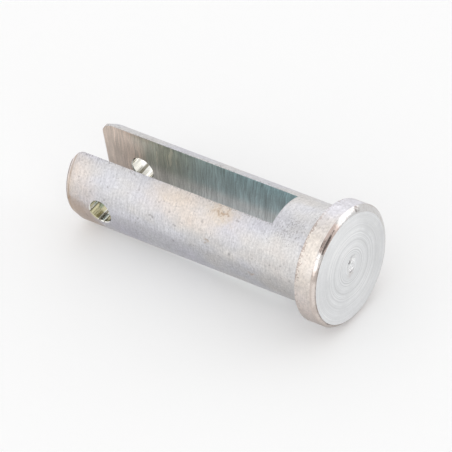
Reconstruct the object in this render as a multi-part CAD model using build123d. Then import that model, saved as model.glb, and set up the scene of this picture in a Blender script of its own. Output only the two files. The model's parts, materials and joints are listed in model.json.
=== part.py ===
from build123d import *
from build123d.topology import SkipClean
import os

# A slotted clevis pin, turned, milled and cross drilled from one steel bar.
#
# Frame: the shank's axis is X. The origin is on that axis, in the plane of the head's
# underside. +X points to the open, slotted end of the shank. The slot is cut along the XZ
# plane, and the cross hole runs along Y, through both ears that the slot leaves.

# ---- Driving dimensions, in millimetres ----

# Shank
shank_diameter = 12.7
shank_length = 36.8  # from the head's underside to the free end
lead_in_length = 1.4  # taper at the free end, along the axis
lead_in_depth = 0.4  # how far the taper draws the outline in, on the radius
lead_in_rounding = 0.45  # radius where the taper meets the end face

# Head
head_diameter = 16.0
head_thickness = 2.87
head_bevel_length = 0.52  # front bevel, along the axis
head_bevel_depth = 0.7  # front bevel, on the radius
head_bevel_rounding = 0.25  # radius on both edges of the front bevel
head_seat_rounding = 0.15  # broken edge round the underside

# Shallow dish that the facing tool leaves in the middle of the head's face
centre_mark_diameter = 2.2
centre_mark_depth = 0.2

# Slot, open at the free end and on both sides of the shank
slot_width = 5.5
solid_root_length = 6.15  # full round shank left between the head and the slot
ear_end_rounding = 0.22  # broken edge where each wall of the slot meets the free end

# Cross hole through both ears
cross_hole_diameter = 3.2
cross_hole_to_end = 5.6  # from the hole's centre to the free end
cross_hole_deburr = 0.12  # edge broken at each mouth of the hole, on each ear

# ---- Sizes worked out from them ----

shank_radius = shank_diameter / 2
end_face_radius = shank_radius - lead_in_depth
head_radius = head_diameter / 2
head_face_radius = head_radius - head_bevel_depth
head_bevel_start = head_thickness - head_bevel_length
cross_hole_place = shank_length - cross_hole_to_end
cutter_overrun = shank_diameter  # how far each cutter runs past the bar


def round_corner(profile, corner, radius):
    """Round the corner of the profile that lies at the given point."""
    vertex = profile.vertices().sort_by_distance(corner)[0]
    return fillet(vertex, radius)


def turned_blank():
    """Head with its dished face and plain shank, as they leave the lathe."""
    dish_floor = (centre_mark_depth - head_thickness, 0)
    dish_edge = (-head_thickness, centre_mark_diameter / 2)
    face_edge = (-head_thickness, head_face_radius)
    rim_edge = (-head_bevel_start, head_radius)
    seat_edge = (0, head_radius)
    lead_in_start = (shank_length - lead_in_length, shank_radius)
    end_edge = (shank_length, end_face_radius)
    outline = Polyline(
        dish_edge,
        face_edge,
        rim_edge,
        seat_edge,
        (0, shank_radius),
        lead_in_start,
        end_edge,
        (shank_length, 0),
        dish_floor,
    )
    dish = TangentArc(dish_floor, dish_edge, tangent=(0, 1))
    profile = make_face(outline + dish)
    profile = round_corner(profile, face_edge, head_bevel_rounding)
    profile = round_corner(profile, rim_edge, head_bevel_rounding)
    profile = round_corner(profile, seat_edge, head_seat_rounding)
    profile = round_corner(profile, end_edge, lead_in_rounding)
    return revolve(profile, Axis.X)


def slot_cutter():
    """Block that parts the shank into two ears and leaves a flat floor towards the head."""
    length = shank_length - solid_root_length + cutter_overrun
    height = shank_diameter + cutter_overrun
    place = Pos(solid_root_length + length / 2, 0, 0)
    return place * Box(length, slot_width, height)


def cross_drill():
    """Drill through both ears, square to the slot."""
    place = Pos(cross_hole_place, 0, 0) * Rot(90, 0, 0)
    return place * Cylinder(cross_hole_diameter / 2, shank_diameter + cutter_overrun)


def deburred(ears):
    """Break the cross hole's edges where it opens into the slot and on the ears' outsides."""
    drill_axis = Vector(cross_hole_place, 0, 0)
    reach = cross_hole_diameter / 2 + cross_hole_deburr
    mouths = []
    for edge in ears.edges():
        centre = edge.center(CenterOf.BOUNDING_BOX)
        off_axis = Vector(centre.X, 0, centre.Z) - drill_axis
        half_span = edge.bounding_box().size.X / 2
        if off_axis.length < cross_hole_deburr and half_span < reach:
            mouths.append(edge)
    return chamfer(mouths, cross_hole_deburr)


def with_rounded_ends(ears):
    """Round the two upright edges where the slot's walls meet the free end."""
    upright = ears.edges().filter_by(Axis.Z)
    ends = upright.filter_by(lambda edge: edge.center().X > cross_hole_place)
    return fillet(ends, ear_end_rounding)


def clevis_pin():
    """The whole pin, in the order the shop makes it.

    The full round root and the ears meet in a split line at the slot's floor, so that each
    keeps its own cylindrical face.
    """
    blank = turned_blank()
    slot_floor = Plane.YZ.offset(solid_root_length)
    root = split(blank, slot_floor, keep=Keep.BOTTOM)
    ears = split(blank, slot_floor, keep=Keep.TOP)
    ears -= slot_cutter()
    ears -= cross_drill()
    ears = with_rounded_ends(ears)
    ears = deburred(ears)
    with SkipClean():
        return root + ears


os.makedirs("parts", exist_ok=True)
export_step(clevis_pin(), "parts/clevis_pin.step")
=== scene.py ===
"""Zinc-plated clevis pin, dressed for a studio view.

The pin is one piece of steel, so it is modelled as one closed mesh: the head and the full
round root are turned as one shape, the two ears are turned as a second and sawn flat, and
the two are joined and cross drilled. Each zone that a different tool made has its own
finish. Lengths are in metres unless a name says otherwise.
"""

import json
import logging
import math
from collections.abc import Callable
from dataclasses import dataclass, field
from enum import Enum
from functools import reduce
from typing import NamedTuple

import bpy
from mathutils import Matrix, Quaternion, Vector


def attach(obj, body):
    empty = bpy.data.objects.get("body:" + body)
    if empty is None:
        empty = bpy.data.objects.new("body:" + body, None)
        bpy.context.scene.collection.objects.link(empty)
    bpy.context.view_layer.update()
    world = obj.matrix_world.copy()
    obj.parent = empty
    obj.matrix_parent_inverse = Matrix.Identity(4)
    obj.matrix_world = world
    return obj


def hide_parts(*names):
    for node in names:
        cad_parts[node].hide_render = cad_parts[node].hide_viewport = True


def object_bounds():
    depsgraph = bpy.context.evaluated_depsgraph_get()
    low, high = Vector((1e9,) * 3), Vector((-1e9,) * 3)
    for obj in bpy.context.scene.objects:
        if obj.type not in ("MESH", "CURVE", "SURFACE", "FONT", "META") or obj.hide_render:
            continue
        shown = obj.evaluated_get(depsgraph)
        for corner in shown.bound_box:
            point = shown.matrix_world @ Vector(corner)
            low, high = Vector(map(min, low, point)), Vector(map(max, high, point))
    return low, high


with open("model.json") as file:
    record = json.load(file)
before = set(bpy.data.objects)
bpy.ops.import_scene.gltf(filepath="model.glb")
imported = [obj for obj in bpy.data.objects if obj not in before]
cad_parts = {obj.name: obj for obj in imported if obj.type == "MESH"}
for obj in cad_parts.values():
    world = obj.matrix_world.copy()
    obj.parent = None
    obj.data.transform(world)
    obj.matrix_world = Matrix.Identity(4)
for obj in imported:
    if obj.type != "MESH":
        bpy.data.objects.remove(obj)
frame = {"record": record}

CAD_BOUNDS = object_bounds()
LOG = logging.getLogger("clevis_pin")

MM = 0.001
# A saw cut leaves alone what lies this close to it.
CUT_THRESHOLD = 1e-8
# Points this close are the same one, and faces this close to a plane lie in it.
TOUCHING = 1e-6
# A finished point this close to a wall or floor belongs to it.
NEAR = 2e-6
# Anything shorter that the drill leaves is cleared away.
SLIVER = 3e-6

# An outline is a list of (place along the axis, radius) points, and a drift gives how far
# off the axis, along Y and Z, the ring at such a point is centred. A test is asked about a
# face's centre and normal, or about the two ends of an edge.
Outline = list[tuple[float, float]]
Drift = Callable[[float, float], tuple[float, float]]
Test = Callable[[Vector, Vector], bool]

Triple = tuple[float, float, float]
Colour = Triple
Socket = bpy.types.NodeSocket
Value = Socket | float
Input = Socket | float | tuple[float, ...] | Vector | None


class Zone(Enum):
    """The pin's surfaces, by the tool that made them. The value is the material slot's place."""

    SHANK = 0
    RIM = 1
    BEVEL = 2
    FACE = 3
    MILLED = 4
    DRILLED = 5
    END = 6


@dataclass(frozen=True)
class PinSizes:
    """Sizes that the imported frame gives.

    Attributes:
        face_place: Where the head's face lies along the axis.
        end_place: Where the free end lies along the axis.
        head_radius: Outside radius of the head.
        shank_radius: Radius of the shank.
        taper_place: Where the taper at the free end starts.
        slot_floor: Where the slot's closed end lies.
        slot_half: Half of the slot's width.
        hole_place: Where the cross hole's axis crosses the pin's axis.
        hole_radius: Radius of the cross hole.
    """

    face_place: float
    end_place: float
    head_radius: float
    shank_radius: float
    taper_place: float
    slot_floor: float
    slot_half: float
    hole_place: float
    hole_radius: float

    @classmethod
    def from_frame(cls, record: dict, low: Vector, high: Vector) -> "PinSizes":
        """Read the sizes from the record's mounts and the CAD box.

        Args:
            record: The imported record.
            low: Lowest corner of the CAD box.
            high: Highest corner of the CAD box.

        Returns:
            The pin's sizes in metres.
        """
        slot_box_clearance = 0.05 * MM
        mounts = {mount["name"]: mount for mount in record["mounts"]}
        shank = mounts["shank"]["dims"]
        hole = mounts["cross_hole"]
        slot_low, slot_high = record["physics"]["openings"][0]["box_m"]
        return cls(
            face_place=low[0],
            end_place=high[0],
            head_radius=high[2],
            shank_radius=shank["r_mm"] * MM,
            taper_place=shank["length_mm"] * MM,
            slot_floor=slot_low[0] - slot_box_clearance,
            slot_half=slot_high[1] + slot_box_clearance,
            hole_place=hole["pos_m"][0],
            hole_radius=hole["dims"]["r_mm"] * MM,
        )


def deselect_all() -> None:
    """Deselect every object, so that the next operator acts on its own piece alone."""
    if bpy.context.object and bpy.context.object.mode != "OBJECT":
        bpy.ops.object.mode_set(mode="OBJECT")
    bpy.ops.object.select_all(action="DESELECT")


def make_active(piece: bpy.types.Object) -> None:
    """Select one object and make it the active one.

    Args:
        piece: The object to work on.
    """
    deselect_all()
    piece.select_set(True)
    bpy.context.view_layer.objects.active = piece


def select_faces(piece: bpy.types.Object, wanted: Test) -> int:
    """Select the faces for which a test holds, and leave the piece in edit mode.

    Args:
        piece: The object whose faces are picked.
        wanted: Test of a face's centre and normal.

    Returns:
        How many faces were selected.
    """
    make_active(piece)
    bpy.ops.object.mode_set(mode="EDIT")
    bpy.ops.mesh.select_mode(type="FACE")
    bpy.ops.mesh.select_all(action="DESELECT")
    bpy.ops.object.mode_set(mode="OBJECT")
    count = 0
    for face in piece.data.polygons:
        face.select = wanted(face.center, face.normal)
        count += face.select
    bpy.ops.object.mode_set(mode="EDIT")
    return count


def select_edges(piece: bpy.types.Object, wanted: Test) -> int:
    """Select the edges for which a test holds, and leave the piece in edit mode.

    Args:
        piece: The object whose edges are picked.
        wanted: Test of the places of an edge's two ends.

    Returns:
        How many edges were selected.
    """
    make_active(piece)
    bpy.ops.object.mode_set(mode="EDIT")
    bpy.ops.mesh.select_mode(type="EDGE")
    bpy.ops.mesh.select_all(action="DESELECT")
    bpy.ops.object.mode_set(mode="OBJECT")
    points = piece.data.vertices
    count = 0
    for edge in piece.data.edges:
        first, second = (points[index].co for index in edge.vertices)
        edge.select = wanted(first, second)
        count += edge.select
    bpy.ops.object.mode_set(mode="EDIT")
    return count


def enclosed_volume(mesh: bpy.types.Mesh) -> float:
    """Measure the volume that a closed mesh encloses.

    Args:
        mesh: The mesh.

    Returns:
        Its volume, negative where its faces point inwards.
    """
    mesh.calc_loop_triangles()
    points = mesh.vertices
    volume = 0.0
    for triangle in mesh.loop_triangles:
        first, second, third = (points[index].co for index in triangle.vertices)
        volume += first.dot(second.cross(third)) / 6
    return volume


def corner_arc(before: tuple[float, float], corner: tuple[float, float],
               after: tuple[float, float], size: float, steps: int) -> Outline:
    """Round one corner of an outline with a tangent arc.

    Args:
        before: The outline's point before the corner.
        corner: The corner itself.
        after: The outline's point after the corner.
        size: Radius of the rounding.
        steps: How many stretches the arc is divided into.

    Returns:
        The points that stand in for the corner.
    """
    corner_point = Vector(corner)
    to_before = (Vector(before) - corner_point).normalized()
    to_after = (Vector(after) - corner_point).normalized()
    half_angle = to_before.angle(to_after) / 2
    reach = size / math.tan(half_angle)
    centre = corner_point + (to_before + to_after).normalized() * (size / math.sin(half_angle))
    first = corner_point + to_before * reach - centre
    sweep = (to_after * reach + corner_point - centre).angle_signed(first)
    points = []
    for step in range(steps + 1):
        turned = first.copy()
        turned.rotate(Matrix.Rotation(sweep * step / steps, 2))
        points.append(tuple(centre + turned))
    return points


def hump(distance: float) -> float:
    """Give the height of a bell curve: 1 in its middle, almost nothing from 2 onwards."""
    return math.exp(-distance ** 2)


@dataclass
class Lathe:
    """Turns outlines round the X axis.

    Attributes:
        segments: Flats round a full turn. The slot's edges fall halfway along a flat.
    """

    segments: int = 232

    def turn(self, name: str, outline: Outline, drift: Drift | None = None) -> bpy.types.Object:
        """Turn an outline whose ends are closed: by a flat disc, or at the axis by a point.

        Args:
            name: Name of the new piece.
            outline: Points along the axis, from the first end to the last.
            drift: Where each ring is centred, if not on the axis.

        Returns:
            The turned piece, with its place in its mesh.
        """
        deselect_all()
        place, radius = outline[0]
        bpy.ops.mesh.primitive_circle_add(vertices=self.segments, radius=radius,
                                          fill_type="NGON", location=(place, 0, 0),
                                          rotation=(0, math.pi / 2, 0))
        piece = bpy.context.object
        piece.name = name
        bpy.ops.object.transform_apply(location=True, rotation=True, scale=True)
        bpy.ops.object.mode_set(mode="EDIT")
        bpy.ops.mesh.select_mode(type="FACE")
        bpy.ops.mesh.select_all(action="SELECT")
        centre = Vector((place, 0, 0))
        for next_place, next_radius in outline[1:]:
            off_axis = drift(next_place, next_radius) if drift else (0.0, 0.0)
            next_centre = Vector((next_place, *off_axis))
            bpy.ops.mesh.extrude_region_move(
                TRANSFORM_OT_translate={"value": next_centre - centre})
            if next_radius > 0:
                ratio = next_radius / radius
                bpy.ops.transform.resize(value=(1, ratio, ratio), center_override=next_centre)
                radius = next_radius
            else:
                bpy.ops.mesh.merge(type="CENTER")
            centre = next_centre
        bpy.ops.mesh.select_all(action="SELECT")
        bpy.ops.mesh.normals_make_consistent(inside=False)
        bpy.ops.object.mode_set(mode="OBJECT")
        return piece


@dataclass
class Head:
    """The turned head: underside, rim, rolled bevel and a faced front with its centre mark.

    Attributes:
        sizes: The pin's sizes.
        bevel_length: Length of the bevel along the axis.
        bevel_width: How far the bevel comes in from the rim.
        bevel_rows: Rows of faces on the bevel.
        bevel_start_tilt: How much steeper than the face the bevel starts.
        seat_rounding: Rounding of the edge under the head.
        seat_row: Share of the underside's width that its inner row of faces takes.
        rim_rows: Rows of faces on the rim.
        run_out: How far the face lies off the axis, along Y and Z.
        mark_radius: Radius of the dish in the middle.
        mark_depth: Depth of the dish.
        nib_radius: Radius of the nib that the tool left in the dish.
        nib_height: Height of the nib.
        ring_pitch: Distance between the rings of points on the face.
        rings: Depth, waves and starting angle of the tool's rings, coarse and fine.
        groove_radius: Radius of the groove.
        groove_width: Half of the groove's width.
        groove_depth: Depth of the groove.
        lip_inset: How far inside the groove its raised lip lies.
        lip_width: Half of the lip's width.
        lip_height: Height of the lip.
    """

    sizes: PinSizes
    bevel_length: float = 0.52 * MM
    bevel_width: float = 0.68 * MM
    bevel_rows: int = 10
    bevel_start_tilt: float = math.radians(24)
    seat_rounding: float = 0.15 * MM
    seat_row: float = 0.25
    rim_rows: int = 5
    run_out: tuple[float, float] = (0.11 * MM, -0.13 * MM)
    mark_radius: float = 1.1 * MM
    mark_depth: float = 0.20 * MM
    nib_radius: float = 0.24 * MM
    nib_height: float = 0.12 * MM
    ring_pitch: float = 0.08 * MM
    rings: tuple[Triple, ...] = ((0.0013 * MM, 9.3 / MM, 0.8), (0.0007 * MM, 21.7 / MM, 0.0))
    groove_radius: float = 4.7 * MM
    groove_width: float = 0.11 * MM
    groove_depth: float = 0.018 * MM
    lip_inset: float = 0.26 * MM
    lip_width: float = 0.10 * MM
    lip_height: float = 0.005 * MM

    @property
    def face_radius(self) -> float:
        """Radius at which the flat face ends and the rolled bevel starts."""
        return self.sizes.head_radius - self.bevel_width

    @property
    def bevel_place(self) -> float:
        """Where the bevel meets the rim, along the axis."""
        return self.sizes.face_place + self.bevel_length

    def face_depth(self, radius: float) -> float:
        """How far the faced front lies below its plane, at a radius.

        Args:
            radius: Distance from the axis.

        Returns:
            Depth of the turned rings, the groove and the centre mark with its nib together.
        """
        depth = sum(ring_depth * (1 + math.sin(waves * radius + start))
                    for ring_depth, waves, start in self.rings)
        lip_radius = self.groove_radius - self.lip_inset
        depth += self.groove_depth * hump((radius - self.groove_radius) / self.groove_width)
        depth -= self.lip_height * hump((radius - lip_radius) / self.lip_width)
        if radius < self.mark_radius:
            depth += self.mark_depth * (1 - (radius / self.mark_radius) ** 2) ** 2
            depth -= self.nib_height * hump(radius / self.nib_radius)
        return max(0.0, depth)

    def bevel(self) -> Outline:
        """Outline of the rolled bevel: an arc that steepens from the face to the rim.

        Returns:
            Points from the rim's edge to the edge of the face.
        """
        start = self.bevel_start_tilt
        sweep = 2 * (math.atan(self.bevel_length / self.bevel_width) - start)
        arc_radius = self.bevel_width / (math.sin(start + sweep) - math.sin(start))
        points = []
        for row in range(self.bevel_rows + 1):
            tilt = start + sweep * (1 - row / self.bevel_rows)
            deeper = arc_radius * (math.cos(start) - math.cos(tilt))
            wider = arc_radius * (math.sin(tilt) - math.sin(start))
            points.append((self.sizes.face_place + deeper, self.face_radius + wider))
        return points

    def drift(self, place: float, radius: float) -> tuple[float, float]:
        """Tell where a ring of the front is centred: the facing cut ran out of true.

        Args:
            place: The ring's place along the axis.
            radius: The ring's radius.

        Returns:
            How far off the axis the ring is centred, along Y and Z.
        """
        if place > self.bevel_place - NEAR:
            return 0.0, 0.0
        inside = radius / self.face_radius
        outside = (self.sizes.head_radius - radius) / self.bevel_width
        share = min(inside, outside)
        return share * self.run_out[0], share * self.run_out[1]

    def outline(self) -> Outline:
        """Outline from the shank's radius under the head to the middle of the face.

        Returns:
            Points ordered from the underside to the face's centre.
        """
        radius = self.sizes.head_radius
        rim_edge = (self.bevel_place, radius)
        seat_edge = (0.0, radius)
        inside = (0.0, self.sizes.shank_radius)
        points = [(0.0, inside[1] + self.seat_row * (radius - inside[1]))]
        points += corner_arc(inside, seat_edge, rim_edge, self.seat_rounding, steps=4)
        rim_start = points[-1][0]
        for row in range(1, self.rim_rows):
            points.append((rim_start + (self.bevel_place - rim_start) * row / self.rim_rows,
                           radius))
        points += self.bevel()
        rings = round(self.face_radius / self.ring_pitch)
        for ring in range(1, rings):
            ring_radius = self.face_radius * (1 - ring / rings)
            points.append((self.sizes.face_place + self.face_depth(ring_radius), ring_radius))
        points.append((self.sizes.face_place + self.face_depth(0.0), 0.0))
        return points


@dataclass
class Shank:
    """The shank: a full round root, and past the slot's floor two ears with a tapered end.

    Attributes:
        sizes: The pin's sizes.
        taper_depth: How far the taper comes in at the free end.
        taper_rounding: Rounding between the taper and the end face.
        shoulder_rounding: Rounding where the taper starts.
        row_pitch: Length of a row of faces, about.
        end_disc: Share of the end face's radius that its middle disc takes.
    """

    sizes: PinSizes
    taper_depth: float = 0.40 * MM
    taper_rounding: float = 0.45 * MM
    shoulder_rounding: float = 1.2 * MM
    row_pitch: float = 0.5 * MM
    end_disc: float = 0.8

    def rows(self, start: float, end: float) -> Outline:
        """Plain stretch of the shank, cut into rows of about equal length.

        Args:
            start: Where the stretch starts along the axis.
            end: Where it ends.

        Returns:
            Points of the stretch, both ends included.
        """
        count = max(1, round(abs(end - start) / self.row_pitch))
        radius = self.sizes.shank_radius
        return [(start + (end - start) * row / count, radius) for row in range(count + 1)]

    def root_outline(self) -> Outline:
        """Outline of the round root, from the slot's floor to the head's underside."""
        return self.rows(self.sizes.slot_floor, 0.0)

    def ear_outline(self) -> Outline:
        """Outline of the ears before they are sawn, from the slot's floor to the free end.

        Returns:
            Points ordered from the slot's floor to the middle of the end face.
        """
        sizes = self.sizes
        shoulder = (sizes.taper_place, sizes.shank_radius)
        end_edge = (sizes.end_place, sizes.shank_radius - self.taper_depth)
        blend = corner_arc((sizes.slot_floor, sizes.shank_radius), shoulder, end_edge,
                           self.shoulder_rounding, steps=3)
        points = self.rows(sizes.slot_floor, blend[0][0])[:-1]
        points += blend
        points += corner_arc(shoulder, end_edge, (sizes.end_place, 0.0), self.taper_rounding,
                             steps=5)
        points.append((sizes.end_place, self.end_disc * points[-1][1]))
        return points


@dataclass
class ClevisPin:
    """The whole pin, joined from the turned shapes, then sawn, drilled and deburred.

    Attributes:
        sizes: The pin's sizes.
        lathe: The lathe that turns its shapes.
        ear_end_rounding: Rounding of an ear's free end towards the slot.
        ear_end_cuts: Flats that stand in for a rounding of an ear's end.
        ear_tip_rounding: Rounding of an ear's two tips.
        slot_edge_break: Size of the broken edges along the slot.
        slot_edge_depth: How far inside the shank's skin an edge of the slot may lie.
        hole_edge_break: Size of the broken edges of the cross hole.
        drill_segments: Flats round the drill.
        drill_overrun: How far the drill reaches out of the pin.
        drill_tries: How often a bad cut of the drill is made again.
        drill_tolerance: How far a good cut may be off its expected volume, as a share.
        smooth_angle: Edges flatter than this are shaded smooth.
    """

    sizes: PinSizes
    lathe: Lathe = field(default_factory=Lathe)
    ear_end_rounding: float = 0.22 * MM
    ear_end_cuts: int = 4
    ear_tip_rounding: float = 2.0 * MM
    slot_edge_break: float = 0.05 * MM
    slot_edge_depth: float = 1.2 * MM
    hole_edge_break: float = 0.12 * MM
    drill_segments: int = 96
    drill_overrun: float = 1.0 * MM
    drill_tries: int = 6
    drill_tolerance: float = 0.1
    smooth_angle: float = math.radians(28)

    def __post_init__(self) -> None:
        """Set up the head and the shank from the same sizes."""
        self.head = Head(self.sizes)
        self.shank = Shank(self.sizes)

    def build(self) -> bpy.types.Object:
        """Model the pin.

        Returns:
            The finished mesh, ready for its finishes.
        """
        pin = self.turned_root()
        ears = [self.sawn_ear(side) for side in (1, -1)]
        self.weld(pin, ears)
        self.break_slot_edges(pin)
        self.drill(pin)
        make_active(pin)
        bpy.ops.object.shade_smooth_by_angle(angle=self.smooth_angle)
        return pin

    def turned_root(self) -> bpy.types.Object:
        """Turn the root and head, and leave the slot's floor as the only face at its end.

        Returns:
            The root and head, open where the ears go on.
        """
        outline = self.shank.root_outline() + self.head.outline()
        root = self.lathe.turn("clevis_pin_body", outline, self.head.drift)
        floor = self.sizes.slot_floor
        for side in (1, -1):
            select_faces(root, lambda centre, normal: centre.x > floor - TOUCHING)
            bpy.ops.mesh.bisect(plane_co=(0, side * self.sizes.slot_half, 0),
                                plane_no=(0, 1, 0), threshold=CUT_THRESHOLD)
        half = self.sizes.slot_half
        select_faces(root, lambda centre, normal: centre.x > floor - TOUCHING
                     and abs(centre.y) > half)
        bpy.ops.mesh.delete(type="ONLY_FACE")
        bpy.ops.object.mode_set(mode="OBJECT")
        return root

    def sawn_ear(self, side: int) -> bpy.types.Object:
        """Turn the slotted stretch and saw off all but one ear.

        Args:
            side: 1 for the ear on the +Y side of the slot, -1 for the other.

        Returns:
            The ear, open at the slot's floor.
        """
        ear = self.lathe.turn(f"ear_{side}", self.shank.ear_outline())
        make_active(ear)
        bpy.ops.object.mode_set(mode="EDIT")
        bpy.ops.mesh.select_all(action="SELECT")
        bpy.ops.mesh.bisect(plane_co=(0, side * self.sizes.slot_half, 0),
                            plane_no=(0, side, 0), use_fill=True, clear_inner=True,
                            threshold=CUT_THRESHOLD)
        self.round_ear_end(side)
        floor = self.sizes.slot_floor
        select_faces(ear, lambda centre, normal: centre.x < floor + TOUCHING)
        bpy.ops.mesh.delete(type="ONLY_FACE")
        bpy.ops.object.mode_set(mode="OBJECT")
        return ear

    def weld(self, pin: bpy.types.Object, ears: list[bpy.types.Object]) -> None:
        """Join the ears to the root and merge the points that they share.

        Args:
            pin: The root and head, which the ears become part of.
            ears: The two ears.
        """
        deselect_all()
        for ear in ears:
            ear.select_set(True)
        pin.select_set(True)
        bpy.context.view_layer.objects.active = pin
        bpy.ops.object.join()
        bpy.ops.object.mode_set(mode="EDIT")
        bpy.ops.mesh.select_all(action="SELECT")
        bpy.ops.mesh.remove_doubles(threshold=TOUCHING)
        bpy.ops.mesh.normals_make_consistent(inside=False)
        bpy.ops.object.mode_set(mode="OBJECT")

    def round_ear_end(self, side: int) -> None:
        """Round the ear's free end towards the slot, and its two tips, in edit mode.

        Args:
            side: 1 for the ear on the +Y side of the slot, -1 for the other.
        """
        sizes = self.sizes
        size = self.ear_end_rounding
        self.round_off(Vector((sizes.end_place - size, side * (sizes.slot_half + size), 0)),
                       Vector((0, -side, 0)), size)
        size = self.ear_tip_rounding
        tip = math.sqrt(sizes.shank_radius ** 2 - sizes.slot_half ** 2)
        for up in (1, -1):
            self.round_off(Vector((sizes.end_place - size, 0, up * (tip - size))),
                           Vector((0, 0, up)), size)

    def round_off(self, centre: Vector, sideways: Vector, size: float) -> None:
        """Take flats off the mesh in edit mode, tangent to a rounding of its free end.

        Args:
            centre: A point on the rounding's axis.
            sideways: The way in which the rounding turns away from the pin's axis.
            size: Radius of the rounding.
        """
        for cut in range(1, self.ear_end_cuts + 1):
            turn = math.pi / 2 * cut / (self.ear_end_cuts + 1)
            outward = math.cos(turn) * Vector((1, 0, 0)) + math.sin(turn) * sideways
            bpy.ops.mesh.select_all(action="SELECT")
            bpy.ops.mesh.bisect(plane_co=centre + size * outward, plane_no=outward,
                                use_fill=True, clear_outer=True, threshold=CUT_THRESHOLD)

    def on_wall(self, point: Vector) -> bool:
        """Tell whether a point lies on one of the slot's walls."""
        return (abs(abs(point.y) - self.sizes.slot_half) < NEAR
                and point.x > self.sizes.slot_floor - NEAR)

    def slot_edge(self, first: Vector, second: Vector) -> bool:
        """Tell whether an edge runs along the outside of the slot's walls or floor.

        Args:
            first: One end of the edge.
            second: Its other end.

        Returns:
            Whether it is an edge to break.
        """
        half = self.sizes.slot_half
        floor = self.sizes.slot_floor
        skin = self.sizes.shank_radius - self.slot_edge_depth
        if min(math.hypot(end.y, end.z) for end in (first, second)) <= skin:
            return False
        along_wall = (self.on_wall(first) and self.on_wall(second)
                      and abs(first.x - second.x) > NEAR)
        along_floor = (max(abs(first.x - floor), abs(second.x - floor)) < NEAR
                       and max(abs(first.y), abs(second.y)) < half + NEAR)
        return along_wall or along_floor

    def break_slot_edges(self, pin: bpy.types.Object) -> None:
        """Break the sharp edges along the outside of the slot's walls and floor.

        Args:
            pin: The joined pin.
        """
        LOG.info("slot edges broken: %d", select_edges(pin, self.slot_edge))
        bpy.ops.mesh.bevel(offset=self.slot_edge_break, segments=2, affect="EDGES",
                           clamp_overlap=False)
        bpy.ops.object.mode_set(mode="OBJECT")

    def drill_outline(self) -> Outline:
        """Outline of a drill that also breaks the hole's edge at all four mouths.

        Returns:
            Points from one end of the drill to the other.
        """
        radius = self.sizes.hole_radius
        wide = radius + self.hole_edge_break
        wall = self.sizes.slot_half
        skin = self.sizes.shank_radius
        half = [
            (wall, wide),
            (wall + self.hole_edge_break, radius),
            (skin - self.hole_edge_break, radius),
            (skin, wide),
            (skin + self.drill_overrun, wide + self.drill_overrun),
        ]
        return [(-place, size) for place, size in reversed(half)] + half

    def bored_volume(self) -> float:
        """Volume of metal that the cross hole takes out of the two ears, about."""
        ear = self.sizes.shank_radius - self.sizes.slot_half
        return 2 * math.pi * self.sizes.hole_radius ** 2 * ear

    def drill(self, pin: bpy.types.Object) -> None:
        """Cut the cross hole through both ears.

        Once in a while the cut turns the drill into metal, so what it takes away is weighed,
        and a bad cut is made again.

        Args:
            pin: The joined pin.
        """
        cutter = Lathe(self.drill_segments).turn("drill", self.drill_outline())
        make_active(cutter)
        bpy.ops.object.mode_set(mode="EDIT")
        bpy.ops.mesh.select_all(action="SELECT")
        bpy.ops.transform.rotate(value=math.pi / 2, orient_axis="Z", center_override=(0, 0, 0))
        bpy.ops.transform.translate(value=(self.sizes.hole_place, 0, 0))
        bpy.ops.object.mode_set(mode="OBJECT")
        self.drape(cutter)
        blank = pin.data.copy()
        for _ in range(self.drill_tries):
            self.cut(pin, cutter)
            taken = enclosed_volume(blank) - enclosed_volume(pin.data)
            if abs(taken / self.bored_volume() - 1) < self.drill_tolerance:
                break
            LOG.info("the cut took %.1f mm3, so it is made again", taken / MM ** 3)
            pin.data = blank.copy()
        bpy.data.objects.remove(cutter, do_unlink=True)
        bpy.data.meshes.remove(blank)

    def cut(self, pin: bpy.types.Object, cutter: bpy.types.Object) -> None:
        """Take the drill's shape away from the pin, and clear the slivers.

        Args:
            pin: The joined pin.
            cutter: The drill, in place.
        """
        make_active(pin)
        bore = pin.modifiers.new("cross_hole", "BOOLEAN")
        bore.operation = "DIFFERENCE"
        bore.solver = "EXACT"
        bore.object = cutter
        bpy.ops.object.modifier_apply(modifier=bore.name)
        bpy.ops.object.mode_set(mode="EDIT")
        bpy.ops.mesh.select_all(action="SELECT")
        bpy.ops.mesh.remove_doubles(threshold=SLIVER)
        bpy.ops.mesh.dissolve_degenerate(threshold=SLIVER)
        bpy.ops.object.mode_set(mode="OBJECT")

    def drape(self, cutter: bpy.types.Object) -> None:
        """Move the drill's flared mouths onto the round of the shank.

        Args:
            cutter: The drill, already across the pin.
        """
        skin = self.sizes.shank_radius
        flare = 1.5 * self.hole_edge_break
        for point in cutter.data.vertices:
            if skin - flare < abs(point.co.y) < skin + flare:
                drop = skin - math.sqrt(max(0.0, skin ** 2 - point.co.z ** 2))
                point.co.y -= math.copysign(drop, point.co.y)
        cutter.data.update()

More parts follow.
